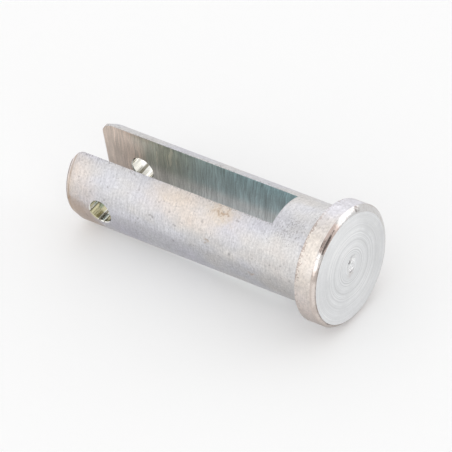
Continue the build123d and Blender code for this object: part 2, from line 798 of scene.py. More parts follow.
    def zone_of(self, centre: Vector, normal: Vector) -> Zone:
        """Tell which tool made the surface at a face.

        Args:
            centre: Centre of the face.
            normal: Normal of the face.

        Returns:
            The face's zone.
        """
        sizes = self.sizes
        radius = math.hypot(centre.y, centre.z)
        from_hole = math.hypot(centre.x - sizes.hole_place, centre.z)
        faces_slot_or_skin = abs(normal.y) > math.cos(math.radians(18))
        if centre.x > sizes.slot_floor - TOUCHING:
            if from_hole < sizes.hole_radius + self.hole_edge_break and not faces_slot_or_skin:
                return Zone.DRILLED
            if abs(centre.y) < sizes.slot_half + TOUCHING and radius < sizes.shank_radius:
                return Zone.MILLED
            if centre.x > sizes.end_place - self.shank.taper_rounding:
                return Zone.END
            return Zone.SHANK
        faces_free_end = normal.x > math.cos(math.radians(60))
        if centre.x > -TOUCHING and not faces_free_end:
            return Zone.SHANK
        if centre.x > self.head.bevel_place:
            return Zone.RIM
        groove_reach = self.head.groove_radius + 2 * self.head.groove_width
        if radius > groove_reach and normal.x > -math.cos(self.head.bevel_start_tilt / 2):
            return Zone.BEVEL
        return Zone.FACE

    def assign_zones(self, pin: bpy.types.Object, finishes: dict[Zone, bpy.types.Material]) -> None:
        """Give each face the finish of its zone.

        Args:
            pin: The finished mesh.
            finishes: One material for each zone.
        """
        pin.data.materials.clear()
        for zone in Zone:
            pin.data.materials.append(finishes[zone])
        for face in pin.data.polygons:
            face.material_index = self.zone_of(face.center, face.normal).value


@dataclass(frozen=True)
class Noise:
    """A cloudy noise on the pin.

    Attributes:
        per_mm: Lumps per millimetre along X, Y and Z.
        detail: Finer layers on top of the first.
        roughness: Weight of the finer layers.
        shift: Distance to another stretch of the same noise.
    """

    per_mm: Triple
    detail: float = 2.0
    roughness: float = 0.5
    shift: float = 0.0


@dataclass(frozen=True)
class Spot:
    """A soft spot round a point. Its lengths are in millimetres.

    Attributes:
        centre: The spot's centre.
        reach: How far it reaches along X, Y and Z.
        core: Share of the reach up to which it is full.
        strength: Its strength at the core.
    """

    centre: Triple
    reach: Triple
    core: float = 0.2
    strength: float = 1.0


class Recipe:
    """Nodes of one finish. Places are in millimetres on the pin's own coordinates."""

    def __init__(self, tree: bpy.types.NodeTree) -> None:
        """Start a recipe.

        Args:
            tree: Node tree that the recipe is written into.
        """
        self.nodes = tree.nodes
        self.links = tree.links

    def node(self, kind: str, *inputs: Input, **settings: str) -> bpy.types.Node:
        """Add a node.

        Args:
            kind: Blender's name of the node type, without its first word.
            inputs: A socket or a plain value for each input in order.
            settings: Settings of the node.

        Returns:
            The new node.
        """
        node = self.nodes.new(f"ShaderNode{kind}")
        for setting, choice in settings.items():
            setattr(node, setting, choice)
        for socket, value in zip(node.inputs, inputs):
            self.feed(socket, value)
        return node

    def feed(self, socket: Socket, value: Input) -> None:
        """Link a socket to an input, or set the input's own value.

        Args:
            socket: The input.
            value: A socket, a plain value, or None to leave the input alone.
        """
        if isinstance(value, Socket):
            self.links.new(value, socket)
        elif value is not None:
            socket.default_value = value

    def place(self) -> Socket:
        """Give the place on the pin.

        Returns:
            The place, in millimetres.
        """
        coordinates = self.node("TexCoord")
        scaled = self.node("VectorMath", coordinates.outputs["Object"], operation="SCALE")
        scaled.inputs["Scale"].default_value = 1 / MM
        return scaled.outputs[0]

    def parts(self, place: Socket) -> tuple[Socket, ...]:
        """Split a place into its distances along X, Y and Z."""
        return tuple(self.node("SeparateXYZ", place).outputs)

    def off_axis(self, place: Socket) -> Socket:
        """Give the distance of a place from the pin's axis."""
        flat = self.node("VectorMath", place, (0.0, 1.0, 1.0), operation="MULTIPLY")
        return self.node("VectorMath", flat.outputs[0], operation="LENGTH").outputs["Value"]

    def sum(self, first: Value, second: Value) -> Socket:
        """Add two values."""
        return self.node("Math", first, second, operation="ADD").outputs[0]

    def product(self, *factors: Value) -> Socket:
        """Multiply values.

        Args:
            factors: Two or more values.

        Returns:
            Their product.
        """
        result = factors[0]
        for factor in factors[1:]:
            result = self.node("Math", result, factor, operation="MULTIPLY").outputs[0]
        return result

    def larger(self, first: Value, second: Value) -> Socket:
        """Take the larger of two values."""
        return self.node("Math", first, second, operation="MAXIMUM").outputs[0]

    def away(self, value: Value, centre: float = 0.0) -> Socket:
        """Give how far a value lies from a centre, on either side of it."""
        return self.node("Math", self.sum(value, -centre), operation="ABSOLUTE").outputs[0]

    def fade(self, value: Value, start: float, end: float, low: float = 0.0,
             high: float = 1.0) -> Socket:
        """Pass smoothly from one level to another as a value goes from a start to an end.

        Args:
            value: The value that is watched.
            start: Value at which the passage starts. It may be the higher of the two.
            end: Value at which it ends.
            low: Level before the passage.
            high: Level after the passage.

        Returns:
            The level.
        """
        node = self.node("MapRange", value, start, end, low, high,
                         interpolation_type="SMOOTHSTEP")
        return node.outputs[0]

    def band(self, value: Value, rise: tuple[float, float],
             fall: tuple[float, float]) -> Socket:
        """Rise smoothly from 0 to 1 as a value grows, and fall back to 0 farther on.

        Args:
            value: The value that is watched.
            rise: Where the rise starts and ends.
            fall: Where the fall starts and ends.

        Returns:
            The strength.
        """
        return self.product(self.fade(value, *rise), self.fade(value, fall[1], fall[0]))

    def toned(self, share: Value, tone: float) -> Socket:
        """Give a factor for a colour: 1 where a share is 0, and the tone where it is 1."""
        return self.fade(share, 0.0, 1.0, 1.0, tone)

    def level(self, noise: Value, low: float, high: float, centre: float = 0.5,
              reach: float = 0.25) -> Socket:
        """Turn a noise into a level in a straight line, clamped at both ends.

        Args:
            noise: The noise.
            low: Level at the noise's low end.
            high: Level at its high end.
            centre: Middle of the noise's usual range.
            reach: Half of that range.

        Returns:
            The level.
        """
        node = self.node("MapRange", noise, centre - reach, centre + reach, low, high)
        return node.outputs[0]

    def shade(self, *layers: tuple[Value, float]) -> Socket:
        """Shade a colour unevenly by several noises.

        Args:
            layers: Each noise with how far it lightens and darkens, as a share.

        Returns:
            A factor for the colour, about 1 on average.
        """
        return self.product(*(self.level(noise, 1 - depth, 1 + depth) for noise, depth in layers))

    def noise(self, place: Socket, noise: Noise) -> Socket:
        """Read a cloudy noise.

        Args:
            place: Where the noise is read.
            noise: The noise.

        Returns:
            The noise's value, about 0.5 on average.
        """
        moved = self.node("VectorMath", place, noise.per_mm, (noise.shift,) * 3,
                          operation="MULTIPLY_ADD")
        return self.lumps(moved.outputs[0], 1.0, noise.detail, noise.roughness).outputs[0]

    def lumps(self, place: Socket, per_mm: float, detail: float = 2.0,
              roughness: float = 0.5) -> bpy.types.Node:
        """Add a plain noise node.

        Args:
            place: Where the noise is read.
            per_mm: Lumps per millimetre.
            detail: Finer layers on top of the first.
            roughness: Weight of the finer layers.

        Returns:
            The node, with the noise as a value and as a colour.
        """
        node = self.node("TexNoise")
        self.feed(node.inputs["Vector"], place)
        node.inputs["Scale"].default_value = per_mm
        node.inputs["Detail"].default_value = detail
        node.inputs["Roughness"].default_value = roughness
        return node

    def ring_noise(self, distance: Value, per_mm: float) -> Socket:
        """Noise that depends on one distance alone, as turning marks do.

        Args:
            distance: Distance from the tool's axis.
            per_mm: Marks per millimetre.

        Returns:
            The noise, about 0.5 on average.
        """
        node = self.node("TexNoise", noise_dimensions="1D")
        self.feed(node.inputs["W"], distance)
        node.inputs["Scale"].default_value = per_mm
        node.inputs["Detail"].default_value = 2.0
        return node.outputs[0]

    def spot(self, place: Socket, *spots: Spot) -> Socket:
        """Soft spots: each has its strength at its core, and nothing outside its reach.

        Args:
            place: Where the spots are read.
            spots: The spots, which add up where they overlap.

        Returns:
            The spots' strength.
        """
        strengths = []
        for spot in spots:
            gap = self.node("VectorMath", place, spot.centre, operation="SUBTRACT").outputs[0]
            scaled = self.node("VectorMath", gap, spot.reach, operation="DIVIDE").outputs[0]
            share = self.node("VectorMath", scaled, operation="LENGTH").outputs["Value"]
            strengths.append(self.fade(share, spot.core, 1.0, spot.strength, 0.0))
        return reduce(self.sum, strengths)

    def wavered(self, place: Socket, reach: float, per_mm: float) -> Socket:
        """Shift a place a little here and there, so that what is read there gets an uneven edge.

        Args:
            place: The place.
            reach: How far it is shifted at most, in millimetres.
            per_mm: How often the shift changes.

        Returns:
            The shifted place.
        """
        usual_range = 0.25
        spread = self.lumps(place, per_mm).outputs[1]
        centred = self.node("VectorMath", spread, (0.5, 0.5, 0.5), operation="SUBTRACT")
        shifted = self.node("VectorMath", centred.outputs[0], (reach / usual_range,) * 3, place,
                            operation="MULTIPLY_ADD")
        return shifted.outputs[0]

    def blend(self, share: Value, first: Socket | Colour, second: Socket | Colour) -> Socket:
        """Mix two colours.

        Args:
            share: How much of the second colour there is.
            first: The first colour.
            second: The second colour.

        Returns:
            The mixed colour.
        """
        node = self.node("Mix", share, data_type="RGBA")
        for socket, colour in zip((node.inputs[6], node.inputs[7]), (first, second)):
            self.feed(socket, colour if isinstance(colour, Socket) else (*colour, 1))
        return node.outputs[2]

    def mixed(self, share: Value, first: Value, second: Value) -> Socket:
        """Mix two values.

        Args:
            share: How much of the second value there is.
            first: The first value.
            second: The second value.

        Returns:
            The mixed value.
        """
        node = self.node("Mix", share, data_type="FLOAT")
        self.feed(node.inputs[2], first)
        self.feed(node.inputs[3], second)
        return node.outputs[0]

    def dimmed(self, colour: Socket | Colour, level: Value) -> Socket:
        """Scale a colour's brightness.

        Args:
            colour: The colour.
            level: What its brightness is scaled by.

        Returns:
            The scaled colour.
        """
        node = self.node("VectorMath", colour, operation="SCALE")
        self.feed(node.inputs["Scale"], level)
        return node.outputs[0]

    def relief(self, height: Value, depth: float, under: Socket | None = None) -> Socket:
        """Emboss a height.

        Args:
            height: The height, from 0 to 1.
            depth: What a height of 1 stands for, in millimetres.
            under: Relief that this one lies on.

        Returns:
            The surface's new normal.
        """
        node = self.node("Bump")
        self.feed(node.inputs["Height"], height)
        node.inputs["Strength"].default_value = 1.0
        node.inputs["Distance"].default_value = depth * MM
        self.feed(node.inputs["Normal"], under)
        return node.outputs[0]


class Look(NamedTuple):
    """What a finish hands to the metal shader."""

    colour: Socket
    roughness: Socket
    normal: Socket


@dataclass(frozen=True)
class Finish:
    """A finish of the zinc plate. Places and sizes in a finish are in millimetres.

    Attributes:
        name: The material's name.
        zinc: The plate's plain colour.
        roughness: Middle of the surface's roughness.
    """

    name: str
    zinc: Colour
    roughness: float

    def build(self) -> bpy.types.Material:
        """Make the material.

        Returns:
            The finished material.
        """
        material = bpy.data.materials.new(self.name)
        material.use_nodes = True
        recipe = Recipe(material.node_tree)
        shader = material.node_tree.nodes["Principled BSDF"]
        shader.inputs["Metallic"].default_value = 1.0
        look = self.look(recipe, recipe.place())
        recipe.feed(shader.inputs["Base Color"], look.colour)
        recipe.feed(shader.inputs["Roughness"], look.roughness)
        recipe.feed(shader.inputs["Normal"], look.normal)
        return material

    def look(self, recipe: Recipe, place: Socket) -> Look:
        """Write the finish's own nodes.

        Args:
            recipe: The recipe to write into.
            place: Place on the pin.

        Returns:
            The surface's colour, roughness and normal.
        """
        raise NotImplementedError

    def varied(self, recipe: Recipe, noise: Socket, below: float, above: float) -> Socket:
        """Vary the roughness about its middle.

        Args:
            recipe: The recipe to write into.
            noise: The noise that varies it.
            below: How far it goes down.
            above: How far it goes up.

        Returns:
            The roughness.
        """
        return recipe.level(noise, self.roughness - below, self.roughness + above)


@dataclass(frozen=True)
class ShankZinc(Finish):
    """Plate on the drawn shank: fine rings, cloudy tints, specks and brown stains, with painted
    light and shade by height.

    Attributes:
        slot_half: Half of the slot's width.
        slot_floor: Where the slot's closed end lies.
        turn_place: Where a dark line follows the turned end.
        peach: Tint of the warm passages.
        lavender: Tint of the cool passages.
        brown: Colour of the stains.
        ochre: Colour of the thin film round the large stain.
        grime: Colour of the specks.
        strokes: Fine rings that drawing the bar left.
        grain: Fine grain of the plate.
        clouds: Cloudy passages.
        drift: Very wide passages from warm to cool.
        rust: Small flakes that the large stain is made of.
        breaks: Gaps in the dark line at the turned end.
        dots: Fine dark specks.
        flecks: Larger and scarcer specks.
        warm_side: The warm passage beside the slot.
        warm_end: The warm passage at the free end.
        large_stain: The large stain beside the slot.
        few_stains: The small stains.
        dull_patch: The dull patch beyond the cross hole.
        film: The film round the large stain.
        far_film: A weaker film towards the cross hole.
        root_specks: Where the fine specks are thick, above the slot's closed end.
    """

    slot_half: float
    slot_floor: float
    turn_place: float
    peach: Colour = (0.74, 0.635, 0.555)
    lavender: Colour = (0.63, 0.62, 0.685)
    brown: Colour = (0.46, 0.33, 0.23)
    ochre: Colour = (0.76, 0.62, 0.44)
    grime: Colour = (0.26, 0.235, 0.24)
    strokes: Noise = Noise((5.5, 0.75, 0.75), detail=3.0, roughness=0.6)
    grain: Noise = Noise((3.8, 3.8, 3.8), shift=7.0)
    clouds: Noise = Noise((0.30, 0.30, 0.30), detail=3.0, shift=13.0)
    drift: Noise = Noise((0.14, 0.22, 0.22), shift=31.0)
    rust: Noise = Noise((2.3, 2.3, 2.3), shift=97.0)
    breaks: Noise = Noise((0.6, 0.6, 0.6), shift=83.0)
    dots: Noise = Noise((5.6, 4.2, 4.2), detail=1.5, shift=53.0)
    flecks: Noise = Noise((1.5, 1.5, 1.5), detail=1.0, shift=67.0)
    warm_side: Spot = Spot((17.5, 4.4, 4.6), (12.0, 3.6, 3.6), 0.25, 0.55)
    warm_end: Spot = Spot((36.0, 4.5, 0.0), (6.0, 9.0, 9.0), 0.4, 0.7)
    large_stain: Spot = Spot((13.1, 3.5, 5.3), (2.0, 1.3, 1.3), 0.1, 0.85)
    few_stains: tuple[Spot, ...] = (
        Spot((14.5, 5.97, 2.17), (0.45, 0.4, 0.4), strength=0.5),
        Spot((8.0, 6.33, -0.4), (0.5, 0.4, 0.4), strength=0.5),
        Spot((36.3, 6.0, 0.3), (0.7, 0.7, 0.7), strength=0.5),
    )
    dull_patch: Spot = Spot((35.8, 5.6, -2.8), (5.0, 4.2, 5.2), 0.5, 0.58)
    film: Spot = Spot((13.2, 3.6, 5.1), (3.4, 2.2, 2.2), 0.1, 0.45)
    far_film: Spot = Spot((21.5, 3.6, 5.1), (4.0, 1.8, 1.8), 0.2, 0.22)
    root_specks: Spot = Spot((3.4, 2.7, 5.7), (3.2, 2.9, 2.9), 0.2, 0.14)

    def look(self, recipe: Recipe, place: Socket) -> Look:
        """Write the finish's own nodes.

        Args:
            recipe: The recipe to write into.
            place: Place on the pin.

        Returns:
            The surface's colour, roughness and normal.
        """
        strokes = recipe.noise(place, self.strokes)
        grain = recipe.noise(place, self.grain)
        clouds = recipe.noise(place, self.clouds)
        uneven = recipe.wavered(place, reach=0.5, per_mm=1.4)
        # The shade holds noise, and painted light and shade: a paler band above the middle and
        # painted shade on the underside.
        shade = recipe.product(recipe.shade((strokes, 0.14), (grain, 0.14), (clouds, 0.05)),
                               self.painted_light_and_shade(recipe, place))
        colour = recipe.dimmed(self.tinted(recipe, place, clouds), shade)
        film = recipe.larger(recipe.spot(uneven, self.film), recipe.spot(uneven, self.far_film))
        colour = recipe.blend(film, colour, self.ochre)
        colour = recipe.blend(self.stains(recipe, place, uneven), colour, self.brown)
        colour = recipe.blend(self.specks(recipe, place), colour, self.grime)
        roughness = recipe.sum(recipe.level(clouds, -0.05, 0.05),
                               self.varied(recipe, strokes, 0.07, 0.07))
        normal = recipe.relief(strokes, 0.014, recipe.relief(grain, 0.008))
        return Look(colour, roughness, normal)

    def painted_light_and_shade(self, recipe: Recipe, place: Socket) -> Socket:
        """Painted light and shade by height: a painted lighter band above the middle, and painted
        shade below it.

        Args:
            recipe: The recipe to write into.
            place: Place on the pin.

        Returns:
            Factor for the colour.
        """
        height = recipe.parts(place)[2]
        # Painted light above the middle, painted shade on the underside.
        painted_light_band = recipe.band(height, rise=(0.4, 1.8), fall=(2.6, 4.3))
        painted_underside_shade = recipe.band(height, rise=(-3.2, -1.5), fall=(0.2, 1.0))
        change = recipe.sum(recipe.product(painted_light_band, 0.07), recipe.product(painted_underside_shade, -0.10))
        return recipe.sum(change, 1.0)

    def tinted(self, recipe: Recipe, place: Socket, clouds: Socket) -> Socket:
        """Cloudy passages from cool grey to lavender and peach.

        Args:
            recipe: The recipe to write into.
            place: Place on the pin.
            clouds: Wide cloudy noise.

        Returns:
            The plate's colour.
        """
        drift = recipe.noise(place, self.drift)
        warmth = recipe.product(recipe.spot(place, self.warm_side, self.warm_end),
                                recipe.level(clouds, 0.35, 1.1))
        warmth = recipe.sum(warmth, recipe.level(drift, -0.25, 0.35))
        colour = recipe.blend(recipe.level(drift, 0.9, -0.3), self.zinc, self.lavender)
        return recipe.blend(warmth, colour, self.peach)

    def stains(self, recipe: Recipe, place: Socket, uneven: Socket) -> Socket:
        """Brown stains: a large one, a few small ones, a dull patch, and a line at the end.

        Args:
            recipe: The recipe to write into.
            place: Place on the pin.
            uneven: The same place, shifted a little here and there.

        Returns:
            The stains' strength.
        """
        rust = recipe.fade(recipe.noise(place, self.rust), 0.46, 0.62)
        marks = recipe.sum(recipe.product(recipe.spot(uneven, self.large_stain), rust),
                           recipe.spot(uneven, *self.few_stains))
        from_turn = recipe.away(recipe.parts(place)[0], self.turn_place)
        breaks = recipe.level(recipe.noise(place, self.breaks), 0.3, 1.2)
        line = recipe.product(recipe.fade(from_turn, 0.06, 0.18, 0.6, 0.0), breaks)
        return recipe.sum(recipe.larger(marks, line), recipe.spot(uneven, self.dull_patch))

    def specks(self, recipe: Recipe, place: Socket) -> Socket:
        """Dark specks, thick by the slot's closed end and along the slot's edges.

        Args:
            recipe: The recipe to write into.
            place: Place on the pin.

        Returns:
            The specks' strength.
        """
        along, across, _ = recipe.parts(place)
        edge = recipe.fade(recipe.away(across), self.slot_half + 0.05, self.slot_half + 0.42,
                           0.17, 0.0)
        past_floor = recipe.fade(along, self.slot_floor - 0.3, self.slot_floor + 0.3)
        thick = recipe.sum(recipe.spot(place, self.root_specks),
                           recipe.product(edge, past_floor))
        dots = recipe.sum(recipe.noise(place, self.dots), thick)
        flecks = recipe.noise(place, self.flecks)
        return recipe.larger(recipe.fade(dots, 0.64, 0.78, 0.0, 0.5),
                             recipe.fade(flecks, 0.67, 0.76, 0.0, 0.42))


@dataclass(frozen=True)
class RimZinc(Finish):
    """Plate on the head's rim: creamy and bright, with brown specks by the rear edge, and painted
    shade: a darker, warmer lower part and darker bands by height.

    Attributes:
        lavender: Cool tint of the top.
        tan: Warm, darker tint of the lower part: painted shade.
        dirt: Colour of the specks.
        strokes: Fine turned rings.
        grain: Fine grain of the plate.
        clouds: Wide passages of the cool tint.
        mottle: Mottling of the plate.
        dots: Specks.
        cool_top: The cool passage on top.
        slot_side: Where the rear edge is dirtiest.
    """

    lavender: Colour = (0.80, 0.785, 0.83)
    tan: Colour = (0.62, 0.545, 0.51)
    dirt: Colour = (0.34, 0.25, 0.22)
    strokes: Noise = Noise((5.0, 0.8, 0.8))
    grain: Noise = Noise((3.0, 3.0, 3.0), detail=3.0, shift=5.0)
    clouds: Noise = Noise((0.28, 0.28, 0.28), shift=17.0)
    mottle: Noise = Noise((1.6, 1.6, 1.6), detail=3.0, shift=43.0)
    dots: Noise = Noise((4.4, 4.4, 4.4), shift=23.0)
    cool_top: Spot = Spot((-1.2, -3.0, 7.5), (4.0, 5.5, 5.5), 0.3)
    slot_side: Spot = Spot((0.0, 5.0, 6.0), (3.0, 6.0, 6.0), 0.5)

    def look(self, recipe: Recipe, place: Socket) -> Look:
        """Write the finish's own nodes.

        Args:
            recipe: The recipe to write into.
            place: Place on the pin.

        Returns:
            The surface's colour, roughness and normal.
        """
        strokes = recipe.noise(place, self.strokes)
        grain = recipe.noise(place, self.grain)
        mottle = recipe.noise(place, self.mottle)
        height = recipe.parts(place)[2]
        cool = recipe.sum(recipe.spot(place, self.cool_top),
                          recipe.level(recipe.noise(place, self.clouds), -0.3, 0.4))
        colour = recipe.blend(cool, self.zinc, self.lavender)
        # Painted shade: the lower part darkens to the warm tan.
        low = recipe.product(recipe.fade(height, 5.0, -2.5), recipe.level(mottle, 0.55, 1.05))
        colour = recipe.blend(low, colour, self.tan)
        # Painted shade: darker on the flank, at the very top and at the bottom.
        painted_flank_shade = recipe.band(height, rise=(0.5, 4.0), fall=(6.0, 6.9))
        shade = recipe.product(recipe.shade((strokes, 0.08), (grain, 0.15), (mottle, 0.12)),
                               recipe.toned(painted_flank_shade, 0.91),
                               recipe.fade(height, 7.2, 7.8, 1.0, 0.90),
                               recipe.fade(height, -2.0, -7.0, 1.0, 0.84))
        colour = recipe.blend(self.specks(recipe, place, mottle), recipe.dimmed(colour, shade),
                              self.dirt)
        normal = recipe.relief(grain, 0.012, recipe.relief(strokes, 0.006))
        return Look(colour, self.varied(recipe, grain, 0.06, 0.08), normal)

    def specks(self, recipe: Recipe, place: Socket, mottle: Socket) -> Socket:
        """Brown specks, thick by the rear edge and thickest there on the slot's side.

        Args:
            recipe: The recipe to write into.
            place: Place on the pin.
            mottle: Noise that makes the thick passage uneven.

        Returns:
            The specks' strength.
        """
        along = recipe.parts(place)[0]
        rear = recipe.fade(recipe.sum(along, recipe.level(mottle, -0.35, 0.35)), -0.75, -0.05)
        by_slot = recipe.level(recipe.spot(place, self.slot_side), 0.5, 1.0, reach=0.5)
        thick = recipe.product(rear, by_slot, 0.27)
        dots = recipe.sum(recipe.noise(place, self.dots), thick)
        return recipe.fade(dots, 0.62, 0.80, 0.0, 0.6)


@dataclass(frozen=True)
class BevelZinc(Finish):
    """Plate on the head's rolled bevel, the glossiest part: scuffed, darker by the rim, with
    painted dark reflection lines in a brown film and painted shade towards the bottom.

    Attributes:
        rim_radius: Radius of the rim.
        line_radius: Radius of the line of grime between the face and the bevel.
        score_radius: Radius of the fine score in the brown film.
        run_out: How far the face lies off the axis, along Y and Z.
        tan: Warm tint of the lower part.
        burnt: Colour of the brown film.
        scuff: Colour of the scuffs, and of the darker rim and patches.
        grime: Dirt that sits along the edge of the face.
        waves: Waviness of the rolled metal.
        grain: Fine grain of the plate.
        scuffs: Where it is scuffed.
        breaks: Gaps in the line of grime.
        film: The brown film on the upper part, between the two brightest stretches.
        painted_reflection_lines: Painted dark reflection lines per millimetre in the brown film.
        dark_patches: Darker patches on the near side.
        top_mark: The dark mark on top.
    """

    rim_radius: float
    line_radius: float
    score_radius: float
    run_out: tuple[float, float]
    tan: Colour = (0.83, 0.745, 0.695)
    burnt: Colour = (0.62, 0.50, 0.45)
    scuff: Colour = (0.50, 0.43, 0.39)
    grime: Colour = (0.20, 0.16, 0.145)
    waves: Noise = Noise((1.2, 1.2, 1.2))
    grain: Noise = Noise((5.0, 5.0, 5.0), shift=9.0)
    scuffs: Noise = Noise((1.9, 1.9, 1.9), detail=3.0, shift=3.0)
    breaks: Noise = Noise((1.4, 1.4, 1.4), shift=61.0)
    film: Spot = Spot((-2.6, 2.9, 7.1), (2.6, 2.5, 2.5), 0.7)
    painted_reflection_lines: float = 5.0
    dark_patches: tuple[Spot, ...] = (
        Spot((-2.6, 6.6, 3.8), (1.3, 1.2, 1.2), 0.3, 0.85),
        Spot((-2.6, 7.6, -0.9), (1.3, 1.2, 1.2), 0.3, 0.50),
    )
    top_mark: Spot = Spot((-2.7, -3.1, 7.0), (0.7, 0.8, 0.5), 0.3, 0.7)

    def look(self, recipe: Recipe, place: Socket) -> Look:
        """Write the finish's own nodes.

        Args:
            recipe: The recipe to write into.
            place: Place on the pin.

        Returns:
            The surface's colour, roughness and normal.
        """
        _, across, height = recipe.parts(place)
        radius = recipe.off_axis(place)
        waves = recipe.noise(place, self.waves)
        grain = recipe.noise(place, self.grain)
        scuffs = recipe.fade(recipe.noise(place, self.scuffs), 0.53, 0.72)
        film = recipe.spot(place, self.film)
        near_side = recipe.fade(across, -5.0, -1.0)
        warm = recipe.product(recipe.fade(height, 3.0, 7.0, 1.0, 0.0), near_side)
        colour = recipe.blend(warm, self.zinc, self.tan)
        # Painted reflection: dark lines in the brown film.
        painted_reflection_lines = recipe.level(recipe.ring_noise(radius, self.painted_reflection_lines), 0.2, 1.7)
        colour = recipe.dimmed(colour, recipe.mixed(film, 1.0, painted_reflection_lines))
        colour = recipe.blend(recipe.product(film, 0.9), colour, self.burnt)
        # Darker by the rim below the top, and in patches on the near side.
        by_rim = recipe.product(recipe.fade(radius, self.rim_radius - 0.25,
                                            self.rim_radius - 0.05),
                                recipe.fade(height, 5.0, 6.5, 0.5, 0.0))
        darkened = recipe.larger(by_rim, recipe.spot(place, *self.dark_patches))
        colour = recipe.blend(recipe.larger(recipe.product(scuffs, 0.4), darkened),
                              colour, self.scuff)
        line = recipe.product(self.face_line(recipe, place, waves), near_side)
        top_mark = recipe.spot(recipe.wavered(place, reach=0.4, per_mm=1.6), self.top_mark)
        colour = recipe.blend(recipe.larger(line, top_mark), colour, self.grime)
        # Painted shade: darker towards the bottom.
        shade = recipe.product(recipe.shade((grain, 0.08)),
                               recipe.fade(height, -0.5, -5.0, 1.0, 0.79))
        roughness = recipe.sum(recipe.product(scuffs, 0.12),
                               self.varied(recipe, waves, 0.03, 0.04))
        score = recipe.product(recipe.fade(recipe.away(radius, self.score_radius), 0.01, 0.06,
                                           1.0, 0.0), film)
        normal = recipe.relief(grain, 0.003, recipe.relief(waves, 0.03))
        return Look(recipe.dimmed(colour, shade), roughness, recipe.relief(score, 0.03, normal))

    def face_line(self, recipe: Recipe, place: Socket, waves: Socket) -> Socket:
        """Broken line of grime where the face's finish ends, on all but the top.

        Args:
            recipe: The recipe to write into.
            place: Place on the pin.
            waves: Noise that makes the line wander.

        Returns:
            The line's strength.
        """
        centred = recipe.node("VectorMath", place, (0.0, *self.run_out), operation="SUBTRACT")
        wandering = recipe.sum(recipe.off_axis(centred.outputs[0]),
                               recipe.level(waves, -0.06, 0.06))
        from_line = recipe.away(wandering, self.line_radius)
        return recipe.product(recipe.fade(from_line, 0.02, 0.14, 1.0, 0.0),
                              recipe.fade(recipe.parts(place)[2], 4.5, 6.5, 0.8, 0.0),
                              recipe.level(recipe.noise(place, self.breaks), 0.35, 1.1))


